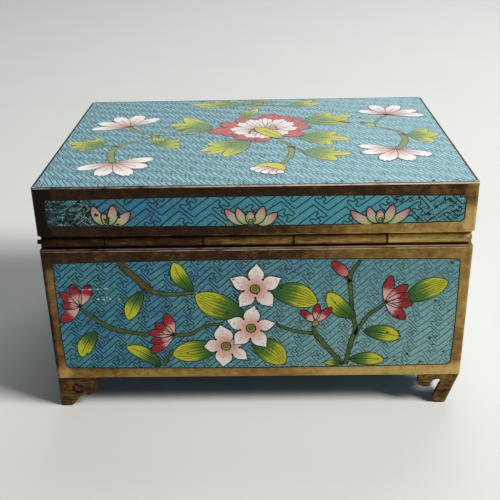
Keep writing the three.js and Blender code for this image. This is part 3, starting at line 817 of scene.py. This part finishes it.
def scars(face, low, high, counts, seed):
    rng = np.random.default_rng(seed)
    low, high = np.array(low), np.array(high)
    for kind, number, size in (("pitMark", counts[0], 0.75), ("chipMark", counts[1], 0.36)):
        for n in range(number):
            mark(face, kind, rng, rng.uniform(low, high), size * rng.uniform(0.4, 1.0), 9 + 0.11 * (n % 9))
    for n in range(counts[2]):
        start = rng.uniform(low, high)
        way = rng.uniform(0.6, 0.95) * (1 if n % 2 else -1)
        step = np.array([math.cos(way), math.sin(way)]) * rng.uniform(1.2, 3.4)
        points = np.clip([start, start + step * 0.5 + rng.normal(0, 0.12, 2), start + step], low, high)
        wire(face, "chipMark" if n % 3 else "pitMark", points, 0.18, 10 + 0.11 * (n % 9))


def drawWear():
    back = faces["lid_back"]
    scars(back, (-59.0, 62.6), (-47.0, 69.8), (110, 40, 14), 5)
    scars(back, (-47.0, 62.6), (-38.0, 69.4), (14, 3, 1), 6)
    scars(back, (44.5, 62.8), (58.9, 69.8), (26, 30, 10), 7)
    scars(back, (39.0, 68.4), (46.5, 70.2), (12, 10, 3), 8)
    base = faces["base_back"]
    rng = np.random.default_rng(3)
    for x, z in (
        (-51.5, 41.8), (-49.4, 41.8), (-47.0, 41.9), (-44.9, 42.0), (-44.4, 42.1), (-47.2, 38.5),
        (-45.6, 38.4), (-44.6, 39.1), (-43.7, 38.5), (-41.0, 38.4),
    ):
        mark(base, "whiteMark", rng, (x, z), 0.55, 9)
    wire(base, "chipMark", [(-52.0, 41.8), (-48.0, 41.9), (-44.0, 42.0)], 0.12, 8.6)
    scars(base, (-58.6, 14.6), (58.6, 49.8), (44, 16, 0), 9)
    scars(base, (30.0, 15.0), (58.4, 34.0), (14, 24, 0), 10)
    scars(faces["lid_top"], (-61.0, -45.6), (61.0, 45.0), (34, 20, 0), 11)
    scars(faces["lid_top"], (10.0, -46.0), (61.0, -44.6), (14, 8, 0), 12)


# The sides that the photo doesn't show carry the same flowers in a plainer spray
sprayForm = {"petal": 7.8, "notch": 3.6, "fan": 7.0}


def drawSpray(face, flowers, fans, stems, leaves):
    for points in stems:
        stem(face, points, (1.0, 1.4, 1.1), 0)
    for root, tip, width in leaves:
        leaf(face, root, tip, width, 1, 0.07)
    for (x, y), heading in fans:
        angles = [heading + math.radians(step) for step in (-70, -36, 0, 36, 70)]
        tips = [(x + sprayForm["fan"] * math.cos(a), y + sprayForm["fan"] * math.sin(a)) for a in angles]
        redFan(face, (x, y), tips, (3.4, 3.6, 3.8, 3.6, 3.4), 2)
    for k, ((x, y), start) in enumerate(flowers):
        rings = []
        for reach, offset in ((sprayForm["petal"], 0.0), (sprayForm["notch"], math.pi / 5)):
            angles = [start - offset - 2 * math.pi * n / 5 for n in range(5)]
            rings.append([(x + reach * math.cos(a), y + reach * math.sin(a)) for a in angles])
        prunus(face, (x, y), *rings, 4 + 2 * k)


sprays = {  # flowers, buds, stems and leaves
    "front": (
        [((-8.0, 27.0), 1.2), ((5.5, 38.5), 1.57)],
        [((-41.0, 36.0), 2.3), ((38.0, 30.0), 0.6)],
        [[(-8.0, 27.0), (-24.0, 25.5), (-41.0, 35.0)], [(5.5, 38.5), (22.0, 33.0), (38.0, 30.0)],
            [(-24.0, 25.5), (-34.0, 20.0), (-46.0, 17.0)], [(22.0, 33.0), (32.0, 42.0), (44.0, 48.0)],
            [(-8.0, 27.0), (8.0, 20.0), (26.0, 17.5)]],
        [((-24.0, 26.0), (-30.0, 36.0), 5.0), ((-46.0, 17.0), (-55.0, 22.0), 5.0),
            ((26.0, 17.5), (38.0, 19.0), 5.4), ((44.0, 48.0), (54.0, 46.0), 5.0),
            ((22.0, 33.4), (18.0, 44.0), 5.0), ((-14.0, 27.0), (-20.0, 17.0), 5.4),
            ((12.0, 36.0), (20.0, 27.0), 5.0)],
    ),
    "side": (
        [((-3.0, 32.0), 1.57)],
        [((26.0, 36.0), 0.9)],
        [[(-3.0, 32.0), (12.0, 30.0), (26.0, 36.0)], [(-3.0, 32.0), (-18.0, 27.0), (-30.0, 20.0)],
            [(-18.0, 27.0), (-25.0, 36.0), (-28.0, 44.0)]],
        [((-30.0, 20.0), (-38.0, 26.0), 5.0), ((-28.0, 43.0), (-36.0, 48.0), 4.8),
            ((12.0, 30.0), (19.0, 21.0), 5.2), ((-10.0, 30.0), (-11.0, 19.0), 5.0)],
    ),
}


def drawPlainSides():
    drawSpray(faces["base_front"], *sprays["front"])
    for name, flip in (("base_left", 1), ("base_right", -1)):
        flowers, fans, stems, leaves = sprays["side"]
        drawSpray(
            faces[name],
            [((x * flip, y), start) for (x, y), start in flowers],
            [((x * flip, y), 1.57 - turn * flip) for (x, y), turn in fans],
            [[(x * flip, y) for x, y in points] for points in stems],
            [((x * flip, y), (u * flip, v), width) for (x, y), (u, v), width in leaves],
        )
    drawLotusBand(faces["lid_front"], [("right", -37.0), ("middle", 0.0), ("left", 38.0)])
    for name in ("lid_left", "lid_right"):
        drawLotusBand(faces[name], [("middle", -24.0), ("right", 24.0)])


# The key-fret: chains of crosses whose arms run out into long bars
fretForm = {"arm": 1.0, "long": 8.0, "short": 5.0, "nextRow": (5.0, 4.0), "round": 0.32, "sample": 0.3}


def fretLinks():
    arm, far, near = fretForm["arm"], fretForm["long"], fretForm["short"]
    steps = [(0, -arm), (-arm, 0), (0, -arm), (far, 0), (0, -near), (-arm, 0), (0, arm), (-arm, 0)]
    first = np.cumsum([(0, 0)] + steps, axis=0)
    second = first[-1] - first[::-1]  # the same link turned half round
    return [first, np.ascontiguousarray(second[::-1], float)], first[-1]


def inside(points, polygon):
    x, y = points[:, 0], points[:, 1]
    hit = np.zeros(len(points), bool)
    low, high = polygon.min(axis=0), polygon.max(axis=0)
    near = (x > low[0]) & (x < high[0]) & (y > low[1]) & (y < high[1])
    if not near.any():
        return hit
    px, py = x[near], y[near]
    within = np.zeros(len(px), bool)
    for (ax, ay), (bx, by) in zip(polygon, np.roll(polygon, -1, axis=0)):
        if ay != by:
            cross = (ay > py) != (by > py)
            within ^= cross & (px < (bx - ax) * (py - ay) / (by - ay) + ax)
    hit[near] = within
    return hit


def wander(points, rng, strength):  # hand-laid wire is never quite straight
    phase = rng.uniform(0, 2 * np.pi, (3, 2))
    moved = points.copy()
    for k, (size, amount) in enumerate(((37.0, 0.6), (17.0, 0.18), (7.0, 0.04))):
        wave = 2 * np.pi / size
        moved[:, 0] += strength * amount * np.sin(points[:, 1] * wave + phase[k, 0])
        moved[:, 1] += strength * amount * np.sin(points[:, 0] * wave * 0.9 + phase[k, 1])
    return moved


def samplePath(corners, sample, bend):
    points, keep = [corners[0]], [True]
    for k in range(1, len(corners)):
        start, end = points[-1], corners[k]
        way = end - start
        length = np.linalg.norm(way)
        turn = k < len(corners) - 1
        stop = end - way / length * min(bend, length * 0.45) if turn else end
        count = max(int(np.linalg.norm(stop - start) / sample), 1)
        for n in range(1, count + 1):
            points.append(start + (stop - start) * n / count)
            keep.append(n == count or n % 5 == 0)
        if turn:
            after = corners[k + 1] - end
            leave = end + after / np.linalg.norm(after) * min(bend, np.linalg.norm(after) * 0.45)
            points += [(stop + 2 * end + leave) / 4, leave]
            keep += [True, True]
    return np.array(points), np.array(keep)


def drawFret(face, kind, unit, east, north, width, seed, strength):
    rng = np.random.default_rng(seed)
    links, period = fretLinks()
    axes = unit * np.array([[math.cos(east), math.sin(east)], [math.cos(north), math.sin(north)]])
    period, rise = period @ axes, np.array(fretForm["nextRow"]) @ axes
    centre, reach = (face.low + face.high) / 2, np.linalg.norm(face.high - face.low) / 2 + 8 * unit
    edge = face.outline(0.12)
    many = int(2.6 * reach / min(np.linalg.norm(period), np.linalg.norm(rise)))
    for i in range(-many, many + 1):
        for j in range(-many, many + 1):
            origin = centre + i * period + j * rise
            if np.any(np.abs(origin - centre) > (face.high - face.low) / 2 + 9 * unit):
                continue
            for link in links:
                corners = origin + link @ axes
                corners[1:-1] += rng.normal(0, 0.04 * unit, corners[1:-1].shape)
                points, keep = samplePath(corners, fretForm["sample"], fretForm["round"] * unit)
                points = wander(points, np.random.default_rng(seed), strength)
                shown = inside(points, edge)
                for mask in face.masks:
                    if shown.any():
                        shown &= ~inside(points, mask)
                drawRuns(face, kind, points, keep, shown, width)


def drawRuns(face, kind, points, keep, shown, width):
    marks = np.flatnonzero(np.diff(np.concatenate([[0], shown.astype(int), [0]])))
    for start, end in zip(marks[::2], marks[1::2]):
        if end - start < 3:
            continue
        run = keep[start:end].copy()
        run[[0, -1]] = True
        wire(face, kind, points[start:end][run], width, -0.45)


print("stage: drawing flowers")
drawBaseBack(faces["base_back"])
drawLidTop(faces["lid_top"])
drawLotusBand(faces["lid_back"], [("left", -42.2), ("middle", -1.1), ("right", 35.8)])
drawPlainSides()

print("stage: laying the fret")
degrees = math.radians
for seed, (name, face) in enumerate(faces.items()):
    if name == "lid_top":
        drawFret(face, "fretWireTop", 0.75, degrees(121), degrees(216), 0.32, seed, 1.0)
    elif face.body == "lid":
        drawFret(face, "fretWire", 1.10, degrees(37), degrees(137), 0.34, seed, 0.5)
    else:
        kind = "fretWireBack" if name == "base_back" else "fretWire"
        drawFret(face, kind, 0.86, degrees(42), degrees(132), 0.30, seed, 1.0)
drawWear()
for name, face in faces.items():
    edge = face.outline(0.10)
    wire(face, "grime", np.vstack([edge, edge[:1]]), 0.34, 0)
    face.build("enamel")


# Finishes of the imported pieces

def dress(node, finish, bevel):
    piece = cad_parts[node]
    piece.data.materials.clear()
    piece.data.materials.append(finishes[finish])
    piece.data.polygons.foreach_set("use_smooth", [True] * len(piece.data.polygons))
    piece.data.set_sharp_from_angle(angle=math.radians(34))
    if bevel:
        edges = piece.modifiers.new("softened edges", "BEVEL")
        edges.width, edges.segments, edges.limit_method = bevel * mm, 2, "ANGLE"
        edges.angle_limit = math.radians(50)
        edges.harden_normals = True


fieldOf = {"lid_enamel_back": "wornFieldWithSheen", "lid_enamel_top": "topField", "base_enamel_back": "backField"}
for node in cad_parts:
    if "enamel" in node:
        dress(node, fieldOf.get(node, "field"), 0)
    elif node.startswith("foot"):
        dress(node, "footBrass", 0.15)
    elif node.startswith("hinge"):
        dress(node, "hingeBrass", 0.08)
    else:
        dress(node, "lidBrass" if node == "lid_box" else "brass", 0.18)
print("stage: packed pieces dressed")


# Linings, underside and small marks of wear

liningForm = {"wall": 2.0, "gap": 0.06, "corner": 1.2, "rings": 14, "across": 26}


def lining(name, body, shell, floorHeight, rimHeight):  # a skin of plain enamel on the inside
    low, high = (np.array(c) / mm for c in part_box(shell))
    inset = liningForm["wall"] + liningForm["gap"]
    halfX, halfY = (high[0] - low[0]) / 2 - inset, (high[1] - low[1]) / 2 - inset
    rng = random.Random(name)
    corner, around = liningForm["corner"], []
    for cx, cy, start in ((1, -1, -90), (1, 1, 0), (-1, 1, 90), (-1, -1, 180)):
        for step in range(5):
            a = math.radians(start + 22.5 * step)
            x = cx * (halfX - corner) + corner * math.cos(a)
            around.append((x, cy * (halfY - corner) + corner * math.sin(a)))
    ring, full = [], len(around)
    for k in range(full):
        (ax, ay), (bx, by) = around[k], around[(k + 1) % full]
        pieces = 12 if math.hypot(bx - ax, by - ay) > 20 else 1
        ring += [(ax + (bx - ax) * n / pieces, ay + (by - ay) * n / pieces) for n in range(pieces)]
    points, polygons, count = [], [], len(ring)
    heights = np.linspace(rimHeight, floorHeight, liningForm["rings"])
    for height in heights:
        wave = 0.05 if 0 < abs(height - floorHeight) else 0.0
        for x, y in ring:
            x -= wave * rng.random() * np.sign(x)
            y -= wave * rng.random() * np.sign(y)
            points.append((x * mm, y * mm, height * mm))
    for shrink in (0.97, 0.8, 0.6, 0.4, 0.2, 0.02):
        lift = 0.05 if floorHeight < rimHeight else -0.05
        for x, y in ring:
            points.append((x * shrink * mm, y * shrink * mm, (floorHeight + lift * rng.random()) * mm))
    for row in range(len(heights) + 5):
        for k in range(count):
            a, b = row * count + k, row * count + (k + 1) % count
            quad = [a, b, b + count, a + count]
            polygons.append(quad if floorHeight > rimHeight else quad[::-1])
    middle = list(range(len(points) - count, len(points)))
    polygons.append(middle if floorHeight > rimHeight else middle[::-1])
    addMesh(name, points, polygons, "lining", body, "enamel")


baseLow, baseHigh = (np.array(c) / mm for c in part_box("base_box"))
low, high = baseLow[:2] + 2.0, baseHigh[:2] - 2.0
corners = ((low[0], low[1]), (low[0], high[1]), (high[0], high[1]), (high[0], low[1]))
points = [(x * mm, y * mm, (baseLow[2] - 0.05) * mm) for x, y in corners]
addMesh("base_underside", points, [[0, 1, 2, 3]], "underside", "base", "enamel")
lidLow, lidHigh = (np.array(c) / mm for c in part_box("lid_box"))
lining("base_lining", "base", "base_box", baseLow[2] + 2.06, baseHigh[2] - 11.3)
lining("lid_lining", "lid", "lid_box", lidHigh[2] - 2.06, lidLow[2] + 0.5)


def blob(name, centre, size, finish, body, slot, seed):  # a small uneven lump
    rng = random.Random(seed)
    rows, cols, points, polygons = 9, 14, [], []
    for r in range(rows + 1):
        a = math.pi * (0.02 + 0.96 * r / rows)
        for c in range(cols):
            b = 2 * math.pi * c / cols
            stretch = 0.82 + 0.3 * rng.random()
            way = (math.sin(a) * math.cos(b), math.sin(a) * math.sin(b), math.cos(a))
            points.append(tuple((centre[i] + way[i] * size[i] * stretch) * mm for i in range(3)))
    for r in range(rows):
        for c in range(cols):
            d = (c + 1) % cols
            polygons.append([r * cols + c, (r + 1) * cols + c, (r + 1) * cols + d, r * cols + d])
    polygons += [list(range(cols)), list(range(rows * cols, (rows + 1) * cols))[::-1]]
    return addMesh(name, points, polygons, finish, body, slot)


barrelForm = {
    "y": -45.35, "z": 56.7, "inner": 1.60, "outer": 1.75, "gap": (0.16, 0.30),
    "joints": (-43.66, -15.05, 11.20, 38.07),
}


def collar(name, fromX, toX, arc, body):  # a thin dark line round the hinge's barrel, or part of the way
    turns = np.radians(np.linspace(arc[0], arc[1], 25))
    points, count = [], len(turns)
    inner, outer = barrelForm["inner"], barrelForm["outer"]
    for x, radius in ((fromX, inner), (fromX, outer), (toX, outer), (toX, inner)):
        for a in turns:
            y = barrelForm["y"] - radius * math.sin(a)
            points.append((x * mm, y * mm, (barrelForm["z"] + radius * math.cos(a)) * mm))
    polygons = []
    for row in range(3):
        for k in range(count - 1):
            a, b = row * count + k, (row + 1) * count + k
            polygons.append([a, b, b + 1, a + 1])
    addMesh(name, points, polygons, "gapGrimeAndShadow", body, "hinge_brass", False)


near, far = barrelForm["gap"]
for k, joint in enumerate(barrelForm["joints"]):
    first, second = ("base", "lid") if k % 2 == 0 else ("lid", "base")
    collar(f"hinge_joint_{k}_left", joint - far, joint - near, (0, 180), first)
    collar(f"hinge_joint_{k}_right", joint + near, joint + far, (0, 180), second)
# a dark strip over the top of the second knuckle: painted shadow under the lid's rail
collar("hinge_painted_shadow_upper", -43.3, -15.4, (2, 34), "lid")
hingeLow = np.array(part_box("hinge_leaf_base")[0]) / mm
blob("solder_at_the_hinge", (60.1, hingeLow[1] + 0.5, 57.2), (2.0, 0.7, 0.7), "solder", "base",
    "hinge_brass", 4)
footLow = np.array(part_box("foot_back_left")[0]) / mm
for k, (dx, dz) in enumerate(((5.6, 6.9), (6.9, 6.2), (6.2, 5.4), (5.3, 5.9))):
    centre = (footLow[0] + dx, footLow[1] + 1.0, dz)
    blob(f"red_residue_{k}", centre, (0.75, 0.5, 0.65), "rust", "base", "foot_brass", 10 + k)
for k, name in enumerate(("foot_back_left", "foot_back_right", "foot_front_left", "foot_front_right")):
    low, high = (np.array(c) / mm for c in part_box(name))
    outer = low[1] if "back" in name else high[1]
    inward = 1 if "back" in name else -1
    for n in range(5):
        centre = (low[0] + (high[0] - low[0]) * (0.14 + 0.18 * n), outer + inward * 1.5, high[2] - 0.05)
        seed = 40 + 7 * k + n
        blob(f"{name}_solder_{n}", centre, (1.4, 0.5, 0.42), "footBrass", "base", "foot_brass", seed)


# Stage, light and camera

stageForm = {"front": -1.6, "back": 1.3, "half": 2.4, "rise": 1.6, "curve": 0.5}


def addStage():
    front, back, curve = stageForm["front"], stageForm["back"], stageForm["curve"]
    profile = [(front, 0.0)] + [(front + (back - front) * n / 6, 0.0) for n in range(1, 7)]
    for n in range(1, 13):
        a = math.radians(7.5 * n)
        profile.append((back + curve * math.sin(a), curve * (1 - math.cos(a))))
    profile.append((back + curve, stageForm["rise"]))
    points = [(x, y, z) for y, z in profile for x in (-stageForm["half"], stageForm["half"])]
    polygons = [[2 * n, 2 * n + 1, 2 * n + 3, 2 * n + 2] for n in range(len(profile) - 1)]
    f = Finish("pale floor")
    paper = f.noise(60.0, 2.0)
    f.give(Base_Color=f.blend(paper, (0.74, 0.75, 0.73), (0.78, 0.79, 0.77)), Roughness=0.7 + paper * 0.1)
    finishes["paper"] = f.material
    addMesh("pale_floor", points, polygons, "paper", None, None)


lights = {
    "window": {"at": (1.13, -0.37, 1.02), "size": 0.55, "power": 29.0, "colour": (1.0, 0.985, 0.955)},
    "sky": {"at": (0.35, 1.25, 1.50), "size": 1.3, "power": 12.0, "colour": (0.95, 0.98, 1.0)},
}


def addLights():
    for name, form in lights.items():
        lamp = bpy.data.lights.new(name, "AREA")
        lamp.energy, lamp.size, lamp.color = form["power"], form["size"], form["colour"]
        light = bpy.data.objects.new(name, lamp)
        light.location = form["at"]
        aim = Vector((0, 0, 0.04)) - Vector(form["at"])
        light.rotation_euler = aim.to_track_quat("-Z", "Y").to_euler()
        bpy.context.scene.collection.objects.link(light)
    world = bpy.data.worlds.new("soft room")
    world.use_nodes = True
    world.node_tree.nodes["Background"].inputs[0].default_value = (0.80, 0.84, 0.86, 1)
    world.node_tree.nodes["Background"].inputs[1].default_value = 0.085
    bpy.context.scene.world = world
    bpy.context.scene.view_settings.view_transform = "Standard"


cameraForm = {  # fitted to the box's corners in the photo
    "at": (2.9, -259.0, 153.3), "yaw": -1.20, "pitch": 25.10, "roll": 1.23,
    "focalPixels": 806.6, "photoPixels": 500,
}


def addCamera():
    yaw, pitch, roll = (math.radians(cameraForm[k]) for k in ("yaw", "pitch", "roll"))
    ahead = Vector((math.sin(yaw) * math.cos(pitch), math.cos(yaw) * math.cos(pitch), -math.sin(pitch)))
    right = Vector((math.cos(yaw), -math.sin(yaw), 0))
    down = ahead.cross(right)
    rolledRight = math.cos(roll) * right + math.sin(roll) * down
    rolledDown = math.cos(roll) * down - math.sin(roll) * right
    lens = bpy.data.cameras.new("camera")
    lens.sensor_width = 36
    lens.lens = cameraForm["focalPixels"] * lens.sensor_width / cameraForm["photoPixels"]
    lens.clip_start = 0.01
    camera = bpy.data.objects.new("camera", lens)
    turn = Matrix((rolledRight, -rolledDown, -ahead)).transposed()
    camera.matrix_world = Matrix.Translation(Vector(cameraForm["at"]) * mm) @ turn.to_4x4()
    bpy.context.scene.collection.objects.link(camera)
    bpy.context.scene.camera = camera


addStage()
addLights()
addCamera()
print("stage: floor, light and camera set")
